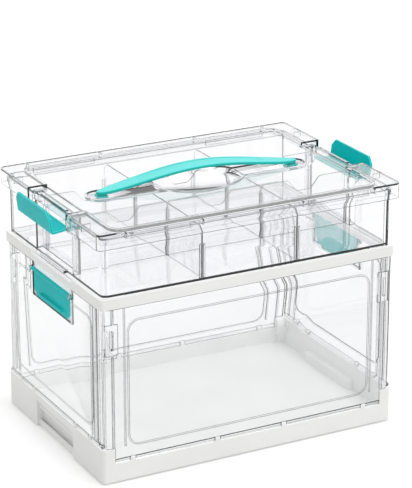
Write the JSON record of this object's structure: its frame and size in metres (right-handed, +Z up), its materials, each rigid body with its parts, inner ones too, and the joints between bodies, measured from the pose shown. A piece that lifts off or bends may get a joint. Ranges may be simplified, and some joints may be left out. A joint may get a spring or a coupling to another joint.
{
  "type": "craft storage box",
  "caption": "Tiered craft storage box: a folding box with clear hinged panels, a clear divided tray and a clear lid with a bowed strap handle, held together by teal latches.",
  "frame": {"origin": "under the middle of the box, on the surface that the feet stand on", "axes": "+X along the long side to the right, +Y away from the front, +Z up"},
  "size_m": [0.4016, 0.2566, 0.3076],
  "materials": {
    "clear_plastic": "polished clear moulding",
    "white_plastic": "satin",
    "teal_plastic": "satin gloss",
    "grey_rubber": "matt"
  },
  "bodies": {
    "base": {"base": "white_plastic", "front_left_foot": "grey_rubber", "front_right_foot": "grey_rubber", "back_left_foot": "grey_rubber", "back_right_foot": "grey_rubber"},
    "front_panel": {"front_panel": "clear_plastic"},
    "back_panel": {"back_panel": "clear_plastic"},
    "left_end_panel": {"left_end_panel": "clear_plastic"},
    "right_end_panel": {"right_end_panel": "clear_plastic"},
    "left_box_latch": {"left_box_latch": "teal_plastic"},
    "right_box_latch": {"right_box_latch": "teal_plastic"},
    "rim": {"rim": "white_plastic"},
    "tray": {"tray": "clear_plastic"},
    "left_tray_latch": {"left_tray_latch": "teal_plastic"},
    "right_tray_latch": {"right_tray_latch": "teal_plastic"},
    "left_long_divider": {"left_long_divider": "clear_plastic"},
    "right_long_divider": {"right_long_divider": "clear_plastic"},
    "left_front_divider": {"left_front_divider": "clear_plastic"},
    "left_back_divider": {"left_back_divider": "clear_plastic"},
    "middle_front_divider": {"middle_front_divider": "clear_plastic"},
    "middle_back_divider": {"middle_back_divider": "clear_plastic"},
    "right_front_divider": {"right_front_divider": "clear_plastic"},
    "right_back_divider": {"right_back_divider": "clear_plastic"},
    "lid": {"lid": "clear_plastic", "handle_strap": "teal_plastic"},
    "left_handle_stud": {"left_handle_stud": "teal_plastic"},
    "right_handle_stud": {"right_handle_stud": "teal_plastic"}
  },
  "joints": [
    {"name": "front_panel_fold", "type": "hinge", "parent": "base", "child": "front_panel", "pos_m": [0, -0.12255, 0.02545], "axis": [1, 0, 0], "range_deg": [-90, 0]},
    {"name": "back_panel_fold", "type": "hinge", "parent": "base", "child": "back_panel", "pos_m": [0, 0.12255, 0.03095], "axis": [-1, 0, 0], "range_deg": [-90, 0]},
    {"name": "left_end_panel_fold", "type": "hinge", "parent": "base", "child": "left_end_panel", "pos_m": [-0.17755, 0, 0.04335], "axis": [0, -1, 0], "range_deg": [-90, 0]},
    {"name": "right_end_panel_fold", "type": "hinge", "parent": "base", "child": "right_end_panel", "pos_m": [0.17755, 0, 0.04335], "axis": [0, 1, 0], "range_deg": [-90, 0]},
    {"name": "left_box_latch_turn", "type": "hinge", "parent": "left_end_panel", "child": "left_box_latch", "pos_m": [-0.1802, 0, 0.1912], "axis": [0, -1, 0], "range_deg": [-180, 0]},
    {"name": "right_box_latch_turn", "type": "hinge", "parent": "right_end_panel", "child": "right_box_latch", "pos_m": [0.1802, 0, 0.1912], "axis": [0, 1, 0], "range_deg": [-180, 0]},
    {"name": "rim_lift", "type": "slide", "parent": "base", "child": "rim", "axis": [0, 0, -1], "range_m": [-0.06, 0]},
    {"name": "tray_lift", "type": "slide", "parent": "rim", "child": "tray", "axis": [0, 0, 1], "range_m": [0, 0.0532]},
    {"name": "left_tray_latch_turn", "type": "hinge", "parent": "tray", "child": "left_tray_latch", "pos_m": [-0.178, 0, 0.2649], "axis": [0, -1, 0], "range_deg": [-97, 0]},
    {"name": "right_tray_latch_turn", "type": "hinge", "parent": "tray", "child": "right_tray_latch", "pos_m": [0.178, 0, 0.2649], "axis": [0, 1, 0], "range_deg": [-97, 0]},
    {"name": "left_long_divider_raise", "type": "slide", "parent": "tray", "child": "left_long_divider", "axis": [0, 0, -1], "range_m": [-0.004, 0]},
    {"name": "right_long_divider_raise", "type": "slide", "parent": "tray", "child": "right_long_divider", "axis": [0, 0, -1], "range_m": [-0.004, 0]},
    {"name": "left_front_divider_raise", "type": "slide", "parent": "tray", "child": "left_front_divider", "axis": [0, 0, -1], "range_m": [-0.004, 0]},
    {"name": "left_back_divider_raise", "type": "slide", "parent": "tray", "child": "left_back_divider", "axis": [0, 0, -1], "range_m": [-0.004, 0]},
    {"name": "middle_front_divider_raise", "type": "slide", "parent": "tray", "child": "middle_front_divider", "axis": [0, 0, -1], "range_m": [-0.004, 0]},
    {"name": "middle_back_divider_raise", "type": "slide", "parent": "tray", "child": "middle_back_divider", "axis": [0, 0, -1], "range_m": [-0.004, 0]},
    {"name": "right_front_divider_raise", "type": "slide", "parent": "tray", "child": "right_front_divider", "axis": [0, 0, -1], "range_m": [-0.004, 0]},
    {"name": "right_back_divider_raise", "type": "slide", "parent": "tray", "child": "right_back_divider", "axis": [0, 0, -1], "range_m": [-0.004, 0]},
    {"name": "lid_lift", "type": "slide", "parent": "tray", "child": "lid", "axis": [0, 0, 1], "range_m": [0, 0.0953]},
    {"name": "handle_flatten", "type": "slide", "parent": "lid", "child": "right_handle_stud", "axis": [-1, 0, 0], "range_m": [-0.003, 0], "deforming": ["handle_strap"]},
    {"name": "handle_flatten_left", "type": "slide", "parent": "lid", "child": "left_handle_stud", "axis": [1, 0, 0], "range_m": [-0.003, 0]}
  ],
  "couplings": [
    {"joint": "handle_flatten_left", "follows": "handle_flatten", "ratio": 1}
  ]
}
